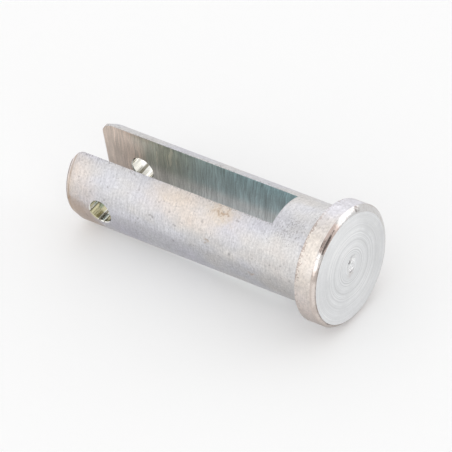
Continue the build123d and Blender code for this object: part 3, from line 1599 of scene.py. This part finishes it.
@dataclass(frozen=True)
class FaceZinc(Finish):
    """Plate on the faced front: turned rings, a groove and the dish in the middle, with painted
    light and shade across and up the face, painted highlights on the pit and the bump, and a dark
    mark that is partly painted shade.

    Attributes:
        mark_radius: Radius of the dish.
        groove_radius: Radius of the groove.
        bright: Paler tint of the upper part: painted light.
        brown: Colour of the brown mark.
        white: Colour of the painted highlights on the pit and the bump.
        dark: Colour of the dark mark, partly a stain and partly painted shade.
        wobble: How far the rings are out of round.
        sectors: Where the rings are strong and where they are weak.
        grain: Fine grain of the plate.
        fine_rings: Fine rings per millimetre.
        wide_rings: Wide rings per millimetre.
        pit_and_highlight: The pit by the dish, with a painted highlight on it.
        bump_and_highlight: The bump by the dish, with a painted highlight on it.
        brown_mark: The brown mark under the dish.
        dark_mark_and_shade: The dark mark beside the pit, partly a stain and partly painted shade.
    """

    mark_radius: float
    groove_radius: float
    bright: Colour = (0.93, 0.935, 0.94)
    brown: Colour = (0.50, 0.43, 0.40)
    white: Colour = (1.0, 1.0, 1.0)
    dark: Colour = (0.13, 0.12, 0.12)
    wobble: Noise = Noise((0.22, 0.22, 0.22), detail=1.0)
    sectors: Noise = Noise((0.5, 0.35, 0.35), shift=11.0)
    grain: Noise = Noise((4.0, 4.0, 4.0), shift=19.0)
    fine_rings: float = 6.0
    wide_rings: float = 1.5
    pit_and_highlight: Spot = Spot((-2.8, -0.55, 0.85), (1.0, 0.75, 0.75))
    bump_and_highlight: Spot = Spot((-2.8, -0.10, -0.55), (1.0, 0.70, 0.36))
    brown_mark: Spot = Spot((-2.8, 0.35, -0.85), (1.0, 1.0, 0.8))
    dark_mark_and_shade: Spot = Spot((-2.8, 0.12, 0.70), (1.0, 0.36, 0.40), 0.3, 0.8)

    def look(self, recipe: Recipe, place: Socket) -> Look:
        """Write the finish's own nodes.

        Args:
            recipe: The recipe to write into.
            place: Place on the pin.

        Returns:
            The surface's colour, roughness and normal.
        """
        radius = recipe.off_axis(place)
        sectors = recipe.noise(place, self.sectors)
        grain = recipe.noise(place, self.grain)
        wobble = recipe.product(recipe.noise(place, self.wobble), 0.35)
        wobbled = recipe.sum(radius, wobble)
        contrast = recipe.product(recipe.level(sectors, 0.2, 1.8),
                                  recipe.fade(radius, self.groove_radius,
                                              self.groove_radius + 0.9, 1.0, 0.35))
        fine = recipe.mixed(contrast, 0.5, recipe.ring_noise(wobbled, self.fine_rings))
        wide = recipe.mixed(contrast, 0.5, recipe.ring_noise(wobbled, self.wide_rings))
        # The shade holds the rings and grain, and painted light and shade from the passages.
        shade = recipe.product(recipe.shade((fine, 0.12), (wide, 0.10), (sectors, 0.05),
                                            (grain, 0.03)),
                               self.passages(recipe, place))
        # Painted light: the upper part is paler.
        upper = recipe.fade(recipe.parts(place)[2], -3.0, 6.5, 0.0, 0.25)
        colour = recipe.dimmed(recipe.blend(upper, self.zinc, self.bright), shade)
        uneven = recipe.wavered(place, reach=0.2, per_mm=2.5)
        # Painted highlights: the pit and the bump turn white; they also shape the relief.
        pit_and_highlight = recipe.spot(uneven, self.pit_and_highlight)
        bump_and_highlight = recipe.spot(uneven, self.bump_and_highlight)
        colour = recipe.blend(recipe.larger(pit_and_highlight, bump_and_highlight), colour, self.white)
        brown = recipe.product(recipe.spot(uneven, self.brown_mark),
                               recipe.level(grain, 0.1, 0.45))
        colour = recipe.blend(brown, colour, self.brown)
        # The dark mark: partly a stain, partly painted shade.
        colour = recipe.blend(recipe.spot(uneven, self.dark_mark_and_shade), colour, self.dark)
        dished = recipe.fade(radius, 0.3 * self.mark_radius, self.mark_radius, 1.0, 0.0)
        roughness = recipe.mixed(dished, self.varied(recipe, fine, 0.06, 0.06), 0.18)
        normal = recipe.relief(fine, 0.018, recipe.relief(wide, 0.05))
        bare = recipe.sum(bump_and_highlight, recipe.product(pit_and_highlight, -1.6))
        return Look(colour, roughness, recipe.relief(bare, 0.13, normal))

    def passages(self, recipe: Recipe, place: Socket) -> Socket:
        """Painted light and shade: broad paler and darker passages, across the face and up it.

        Args:
            recipe: The recipe to write into.
            place: Place on the pin.

        Returns:
            Factor for the colour.
        """
        _, across, height = recipe.parts(place)
        return recipe.product(recipe.fade(across, -5.0, 0.0, 0.89, 0.98),
                              recipe.fade(across, 1.0, 5.0, 1.02, 1.0),
                              recipe.fade(height, -1.0, -6.0, 1.0, 1.07),
                              recipe.fade(height, 1.0, 5.0, 1.0, 1.04))


@dataclass(frozen=True)
class MilledZinc(Finish):
    """Plate in the slot: greenish, with the cutter's strokes and scratches, beige at the mouth, a
    darker belt of painted shade, and a pale painted reflection low on the walls.

    Attributes:
        mouth: Where the beige of the slot's mouth is full.
        floor_place: Where the slot's closed end lies.
        olive: Tint of the stretch behind the mouth.
        beige: Tint of the mouth.
        pale_reflection: Pale tint of the lower part of the walls: painted reflection.
        pale: Colour of the scratches.
        dark: Colour of the top of the walls near the closed end.
        lean: How far the strokes lean at the closed end and at the mouth.
        wobble: How the strokes wander.
        strokes: The cutter's strokes on the walls.
        floor_strokes: The cutter's strokes on the slot's floor.
        columns: Passages from wall top to bottom.
        grain: Fine grain of the plate.
        scratches: Fine scratches.
        scratched: Where the scratches are.
    """

    mouth: float
    floor_place: float
    olive: Colour = (0.50, 0.54, 0.48)
    beige: Colour = (0.66, 0.555, 0.485)
    pale_reflection: Colour = (0.86, 0.84, 0.835)
    pale: Colour = (0.84, 0.83, 0.74)
    dark: Colour = (0.30, 0.32, 0.32)
    lean: tuple[float, float] = (0.27, 0.05)
    wobble: Noise = Noise((0.6, 0.6, 0.6))
    strokes: Noise = Noise((4.6, 0.3, 0.26), detail=2.5, roughness=0.6)
    floor_strokes: Noise = Noise((0.3, 3.2, 0.25), detail=2.5)
    columns: Noise = Noise((0.85, 0.14, 0.14), shift=5.0)
    grain: Noise = Noise((4.0, 4.0, 4.0), shift=29.0)
    scratches: Noise = Noise((5.0, 0.5, 0.3), shift=71.0)
    scratched: Spot = Spot((27.4, -2.75, 4.2), (3.8, 3.0, 3.2), 0.5, 0.6)

    def look(self, recipe: Recipe, place: Socket) -> Look:
        """Write the finish's own nodes.

        Args:
            recipe: The recipe to write into.
            place: Place on the pin.

        Returns:
            The surface's colour, roughness and normal.
        """
        along, _, height = recipe.parts(place)
        swept = self.swept(recipe, place)
        on_floor = recipe.fade(along, self.floor_place + 0.12, self.floor_place + 0.04)
        strokes = recipe.mixed(on_floor, recipe.noise(swept, self.strokes),
                               recipe.noise(place, self.floor_strokes))
        columns = recipe.noise(place, self.columns)
        grain = recipe.noise(place, self.grain)
        # Painted shade: a darker belt across the walls.
        painted_shade_belt = recipe.band(height, rise=(0.0, 2.2), fall=(2.6, 5.0))
        shade = recipe.product(recipe.shade((strokes, 0.30), (grain, 0.08), (columns, 0.15)),
                               recipe.toned(painted_shade_belt, 0.92))
        colour = recipe.dimmed(self.tinted(recipe, place, columns), shade)
        scratches = recipe.fade(recipe.noise(swept, self.scratches), 0.57, 0.63)
        colour = recipe.blend(recipe.product(scratches, recipe.spot(place, self.scratched)),
                              colour, self.pale)
        top = recipe.product(recipe.fade(height, 4.6, 5.8, 0.0, 0.12),
                             recipe.fade(along, 26.5, 24.0))
        colour = recipe.blend(top, colour, self.dark)
        normal = recipe.relief(strokes, 0.016, recipe.relief(grain, 0.006))
        return Look(colour, self.varied(recipe, strokes, 0.06, 0.06), normal)

    def swept(self, recipe: Recipe, place: Socket) -> Socket:
        """Shift a place along the slot, so that what is read there leans as the strokes do.

        Args:
            recipe: The recipe to write into.
            place: Place on the pin.

        Returns:
            The shifted place.
        """
        along, across, height = recipe.parts(place)
        closed = 8.0
        lean = recipe.level(along, *self.lean, centre=(self.mouth + closed) / 2,
                            reach=(self.mouth - closed) / 2)
        wander = recipe.product(recipe.noise(place, self.wobble), 0.6)
        shifted = recipe.sum(recipe.sum(along, recipe.product(height, lean)), wander)
        return recipe.node("CombineXYZ", shifted, across, height).outputs[0]

    def tinted(self, recipe: Recipe, place: Socket, columns: Socket) -> Socket:
        """Tints along the slot: greenish, olive past the middle, then beige at the mouth, and paler
        low on the walls as a painted reflection.

        Args:
            recipe: The recipe to write into.
            place: Place on the pin.
            columns: Noise that makes the passages uneven.

        Returns:
            The plate's colour.
        """
        along, _, height = recipe.parts(place)
        uneven = recipe.sum(along, recipe.level(columns, -1.2, 1.2))
        # Painted reflection: the lower part of the walls turns pale.
        painted_low_reflection = recipe.fade(height, 2.2, 0.2, 0.0, 0.75)
        colour = recipe.blend(painted_low_reflection, self.zinc, self.pale_reflection)
        olive = recipe.blend(recipe.product(painted_low_reflection, 0.8), self.olive, self.pale_reflection)
        colour = recipe.blend(recipe.fade(uneven, self.mouth - 14.0, self.mouth - 6.5, 0.0, 0.9),
                              colour, olive)
        beige = recipe.dimmed(self.beige, recipe.fade(height, 4.5, -1.5, 1.0, 0.72))
        return recipe.blend(recipe.fade(uneven, self.mouth - 5.0, self.mouth - 0.5, 0.0, 0.95),
                            colour, beige)


@dataclass(frozen=True)
class DrilledZinc(Finish):
    """Plate in the cross hole: glossy, with painted reflections as dark and bright streaks along
    the bore.

    Attributes:
        hole_place: Where the cross hole's axis crosses the pin's axis.
        olive: Tint of the near ear's bore.
        dark: Colour of the painted dark reflections.
        waves: Waviness along the bore.
        fine: Fine marks along the bore.
        near_reflection_streaks: Middle and half width of each painted dark reflection in the near
            ear.
        far_reflection_streak: Middle and half width of the painted dark reflection in the far ear.
        glint: Middle and half width of the painted highlight streak in the near ear.
    """

    hole_place: float
    olive: Colour = (0.62, 0.585, 0.40)
    dark: Colour = (0.22, 0.20, 0.14)
    waves: Noise = Noise((0.95, 0.10, 0.95), detail=1.5, shift=4.0)
    fine: Noise = Noise((4.5, 0.4, 4.5), shift=41.0)
    near_reflection_streaks: tuple[tuple[float, float], ...] = ((-0.80, 0.20), (0.90, 0.14), (-1.35, 0.10))
    far_reflection_streak: tuple[float, float] = (-0.30, 0.24)
    glint: tuple[float, float] = (-0.15, 0.50)

    def look(self, recipe: Recipe, place: Socket) -> Look:
        """Write the finish's own nodes.

        Args:
            recipe: The recipe to write into.
            place: Place on the pin.

        Returns:
            The surface's colour, roughness and normal.
        """
        along, across, height = recipe.parts(place)
        waves = recipe.noise(place, self.waves)
        fine = recipe.noise(place, self.fine)
        near_ear = recipe.fade(across, -0.5, 0.5)
        from_hole = recipe.sum(along, -self.hole_place)
        diagonal = recipe.product(recipe.sum(from_hole, height), math.sqrt(0.5))
        slant = recipe.sum(diagonal, recipe.level(waves, -0.15, 0.15))
        # Painted highlight: a bright streak where the olive is taken away.
        glint = recipe.product(self.streak(recipe, slant, *self.glint),
                               recipe.fade(across, 4.3, 3.5))
        yellowed = recipe.product(recipe.band(slant, rise=(-0.65, -0.45), fall=(0.9, 1.1)),
                                  recipe.toned(glint, 0.0), near_ear)
        colour = recipe.blend(yellowed, self.zinc, self.olive)
        # Painted reflections: dark streaks along the bore.
        near_dark_reflection = reduce(recipe.larger, [self.streak(recipe, slant, *streak)
                                           for streak in self.near_reflection_streaks])
        far_dark_reflection = self.streak(recipe, slant, *self.far_reflection_streak)
        dark = recipe.product(recipe.mixed(near_ear, far_dark_reflection, near_dark_reflection), 0.85)
        colour = recipe.dimmed(recipe.blend(dark, colour, self.dark), recipe.shade((fine, 0.10)))
        normal = recipe.relief(waves, 0.10, recipe.relief(fine, 0.01))
        return Look(colour, self.varied(recipe, fine, 0.04, 0.05), normal)

    def streak(self, recipe: Recipe, slant: Socket, middle: float, half: float) -> Socket:
        """Strength of one streak along the bore.

        Args:
            recipe: The recipe to write into.
            slant: Distance across the bore, on a slant.
            middle: Where the streak's middle lies.
            half: Half of its width.

        Returns:
            The strength.
        """
        return recipe.fade(recipe.away(slant, middle), 0.5 * half, half, 1.0, 0.0)


@dataclass(frozen=True)
class EndZinc(Finish):
    """Plate on the free end: turned rings under a pinkish film.

    Attributes:
        edge_place: Where the dark edge next to the shank ends.
        pink: Tint of the film.
        grime: Colour of the dark edge.
        rings: Turned rings per millimetre.
        clouds: Unevenness of the film.
        breaks: Gaps in the dark edge.
        grain: Fine grain of the plate.
    """

    edge_place: float
    pink: Colour = (0.70, 0.60, 0.56)
    grime: Colour = (0.30, 0.25, 0.24)
    rings: float = 5.0
    clouds: Noise = Noise((0.5, 0.5, 0.5), detail=3.0)
    breaks: Noise = Noise((0.9, 0.9, 0.9), shift=37.0)
    grain: Noise = Noise((3.5, 3.5, 3.5), shift=3.0)

    def look(self, recipe: Recipe, place: Socket) -> Look:
        """Write the finish's own nodes.

        Args:
            recipe: The recipe to write into.
            place: Place on the pin.

        Returns:
            The surface's colour, roughness and normal.
        """
        rings = recipe.ring_noise(recipe.off_axis(place), self.rings)
        grain = recipe.noise(place, self.grain)
        film = recipe.level(recipe.noise(place, self.clouds), 0.1, 1.0)
        colour = recipe.blend(film, self.zinc, self.pink)
        edge = recipe.fade(recipe.parts(place)[0], self.edge_place - 0.12, self.edge_place,
                           0.8, 0.0)
        breaks = recipe.level(recipe.noise(place, self.breaks), 0.2, 1.3)
        colour = recipe.blend(recipe.product(edge, breaks), colour, self.grime)
        colour = recipe.dimmed(colour, recipe.shade((rings, 0.06), (grain, 0.08)))
        normal = recipe.relief(rings, 0.012, recipe.relief(grain, 0.008))
        return Look(colour, self.varied(recipe, grain, 0.05, 0.07), normal)


def zinc_finishes(sizes: PinSizes, head: Head) -> dict[Zone, Finish]:
    """Choose the finish of each zone.

    Args:
        sizes: The pin's sizes.
        head: The pin's head.

    Returns:
        One finish for each zone.
    """
    end_place = sizes.end_place / MM
    slot_floor = sizes.slot_floor / MM
    rim_radius = sizes.head_radius / MM
    return {
        Zone.SHANK: ShankZinc("shank_zinc", (0.665, 0.668, 0.675), 0.38,
                              slot_half=sizes.slot_half / MM, slot_floor=slot_floor,
                              turn_place=end_place - 0.68),
        Zone.RIM: RimZinc("rim_zinc", (0.87, 0.80, 0.735), 0.34),
        Zone.BEVEL: BevelZinc("bevel_zinc", (0.70, 0.688, 0.682), 0.12,
                              rim_radius=rim_radius, line_radius=head.face_radius / MM + 0.04,
                              score_radius=rim_radius - 0.26,
                              run_out=(head.run_out[0] / MM, head.run_out[1] / MM)),
        Zone.FACE: FaceZinc("face_zinc", (0.86, 0.868, 0.877), 0.34,
                            mark_radius=head.mark_radius / MM,
                            groove_radius=head.groove_radius / MM),
        Zone.MILLED: MilledZinc("milled_zinc", (0.68, 0.80, 0.82), 0.38,
                                mouth=end_place - 3.0, floor_place=slot_floor),
        Zone.DRILLED: DrilledZinc("drilled_zinc", (0.90, 0.89, 0.85), 0.13,
                                  hole_place=sizes.hole_place / MM),
        Zone.END: EndZinc("end_zinc", (0.68, 0.67, 0.67), 0.40, edge_place=end_place - 0.14),
    }


@dataclass(frozen=True)
class Softbox:
    """A square studio lamp that points at the pin.

    Attributes:
        name: The lamp's name.
        direction: Where it hangs, as seen from the pin.
        distance: How far away it hangs.
        size: Length of its side.
        power: Its power in watts.
    """

    name: str
    direction: Triple
    distance: float
    size: float
    power: float

    def hang(self) -> None:
        """Add the lamp to the scene."""
        data = bpy.data.lights.new(self.name, "AREA")
        data.shape = "SQUARE"
        data.size = self.size
        data.energy = self.power
        lamp = bpy.data.objects.new(self.name, data)
        bpy.context.collection.objects.link(lamp)
        direction = Vector(self.direction).normalized()
        lamp.location = direction * self.distance
        lamp.rotation_euler = direction.to_track_quat("Z", "Y").to_euler()


@dataclass(frozen=True)
class Panel:
    """A round patch of the surroundings that is darker or brighter than the rest.

    Attributes:
        direction: Where it lies, as seen from the pin.
        core: Angle from its middle up to which it is full, in degrees.
        edge: Angle at which it has faded out, in degrees.
        level: Its brightness, where 1 is white.
    """

    direction: Triple
    core: float
    edge: float
    level: float


@dataclass(frozen=True)
class Tripod:
    """The camera's place and lens. Angles are in degrees.

    Attributes:
        target: The point that the camera looks at.
        azimuth: Angle round the vertical, 0 in front (-Y) and growing towards +X.
        elevation: Angle above the horizontal.
        roll: Turn of the camera about its own line of sight.
        distance: Distance from the target.
        lens: Focal length in millimetres on a full-frame sensor.
    """

    target: Triple = (16.38 * MM, 0.0, -1.27 * MM)
    azimuth: float = 222.82
    elevation: float = 41.67
    roll: float = -10.63
    distance: float = 718.2 * MM
    lens: float = 460.2

    def set_up(self) -> None:
        """Add the camera and make it the scene's."""
        azimuth, elevation = math.radians(self.azimuth), math.radians(self.elevation)
        back = Vector((math.sin(azimuth) * math.cos(elevation),
                       -math.cos(azimuth) * math.cos(elevation),
                       math.sin(elevation)))
        data = bpy.data.cameras.new("camera")
        data.sensor_width = 36.0
        data.lens = self.lens
        data.clip_end = 20.0
        camera = bpy.data.objects.new("camera", data)
        bpy.context.collection.objects.link(camera)
        camera.location = Vector(self.target) + back * self.distance
        level = back.to_track_quat("Z", "Y")
        rolled = level @ Quaternion((0, 0, 1), math.radians(self.roll))
        camera.rotation_euler = rolled.to_euler()
        bpy.context.scene.camera = camera


@dataclass
class Studio:
    """White floor and surroundings, soft lamps and the camera.

    Attributes:
        sizes: The pin's sizes.
        tripod: The camera.
        floor_size: Length of the floor's side.
        floor_paint: Share of the light that the floor throws back.
        floor_lift: How much brighter the floor looks to the camera.
        mirrored_lift: How much brighter it looks in the metal.
        surround: Brightness of the surroundings, where 1 is white.
        panels: Patches of the surroundings that the bevel mirrors.
        softboxes: The lamps.
    """

    sizes: PinSizes
    tripod: Tripod = Tripod()
    floor_size: float = 6.0
    floor_paint: float = 0.80
    floor_lift: float = 0.19
    mirrored_lift: float = 0.08
    surround: float = 0.95
    panels: tuple[Panel, ...] = (
        Panel((-0.684, -0.708, 0.174), 18.0, 24.0, 1.60),
        Panel((-0.890, 0.434, 0.139), 12.0, 16.0, 1.80),
        Panel((-0.976, -0.155, 0.156), 11.0, 14.0, 0.18),
        Panel((-0.938, 0.049, 0.342), 6.0, 9.0, 0.20),
        Panel((-0.715, 0.152, 0.682), 10.0, 14.0, 0.22),
    )
    softboxes: tuple[Softbox, ...] = (
        Softbox("left_softbox", (0.51, 0.70, 0.50), 1.2, 0.9, 0.75),
        Softbox("right_softbox", (0.51, -0.64, 0.58), 1.2, 0.8, 0.5),
    )

    def rest_slope(self) -> float:
        """Slope of a floor that touches both the head's rim and the ears' lower corners.

        Returns:
            The slope in radians, falling towards the head.
        """
        corner_drop = math.sqrt(self.sizes.shank_radius ** 2 - self.sizes.slot_half ** 2)
        return math.atan2(self.sizes.head_radius - corner_drop, self.sizes.taper_place)

    def lay_floor(self) -> bpy.types.Object:
        """Lay a wide white floor under the pin.

        Returns:
            The floor.
        """
        deselect_all()
        bpy.ops.mesh.primitive_plane_add(size=self.floor_size,
                                         location=(0, 0, -self.sizes.head_radius),
                                         rotation=(0, -self.rest_slope(), 0))
        floor = bpy.context.object
        floor.name = "floor"
        material = bpy.data.materials.new("floor_white")
        material.use_nodes = True
        recipe = Recipe(material.node_tree)
        recipe.nodes.remove(recipe.nodes["Principled BSDF"])
        paint = recipe.node("BsdfDiffuse", (self.floor_paint,) * 3 + (1,))
        rays = recipe.node("LightPath").outputs
        seen = recipe.larger(rays["Is Camera Ray"], rays["Is Transmission Ray"])
        level = recipe.sum(recipe.product(seen, self.floor_lift),
                           recipe.product(rays["Is Glossy Ray"], self.mirrored_lift))
        lift = recipe.node("Emission", (1, 1, 1, 1), level)
        both = recipe.node("AddShader", paint.outputs[0], lift.outputs[0])
        recipe.feed(recipe.nodes["Material Output"].inputs["Surface"], both.outputs[0])
        floor.data.materials.append(material)
        return floor

    def surround_with_white(self) -> None:
        """Give the pin white surroundings, with the panels that its glossy bevel mirrors."""
        world = bpy.data.worlds.new("studio")
        bpy.context.scene.world = world
        world.use_nodes = True
        recipe = Recipe(world.node_tree)
        background = recipe.nodes["Background"]
        sight = recipe.node("TexCoord").outputs["Generated"]
        unit = recipe.node("VectorMath", sight, operation="NORMALIZE").outputs[0]
        level = self.surround
        for panel in self.panels:
            middle = Vector(panel.direction).normalized()
            toward = recipe.node("VectorMath", unit, middle, operation="DOT_PRODUCT")
            core, edge = math.cos(math.radians(panel.core)), math.cos(math.radians(panel.edge))
            share = recipe.fade(toward.outputs["Value"], edge, core)
            level = recipe.mixed(share, level, panel.level)
        camera_ray = recipe.node("LightPath").outputs["Is Camera Ray"]
        recipe.feed(background.inputs["Color"], (1, 1, 1, 1))
        recipe.feed(background.inputs["Strength"], recipe.mixed(camera_ray, level, 1.0))

    def build(self) -> None:
        """Set up the whole studio."""
        self.lay_floor()
        self.surround_with_white()
        for softbox in self.softboxes:
            softbox.hang()
        self.tripod.set_up()
        bpy.context.scene.view_settings.view_transform = "Standard"
        LOG.info("studio: %d softboxes", len(self.softboxes))


def main() -> None:
    """Build the pin, dress it, and set up the studio."""
    logging.basicConfig(level=logging.INFO, format="%(name)s: %(message)s")
    low, high = CAD_BOUNDS
    sizes = PinSizes.from_frame(frame["record"], Vector(low), Vector(high))
    maker = ClevisPin(sizes)
    pin = maker.build()
    finishes = {zone: finish.build()
                for zone, finish in zinc_finishes(sizes, maker.head).items()}
    maker.assign_zones(pin, finishes)
    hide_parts("clevis_pin")
    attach(pin, "root")
    LOG.info("%s: %d faces, %d finishes", pin.name, len(pin.data.polygons), len(finishes))
    Studio(sizes).build()


if __name__ == "__main__":
    main()
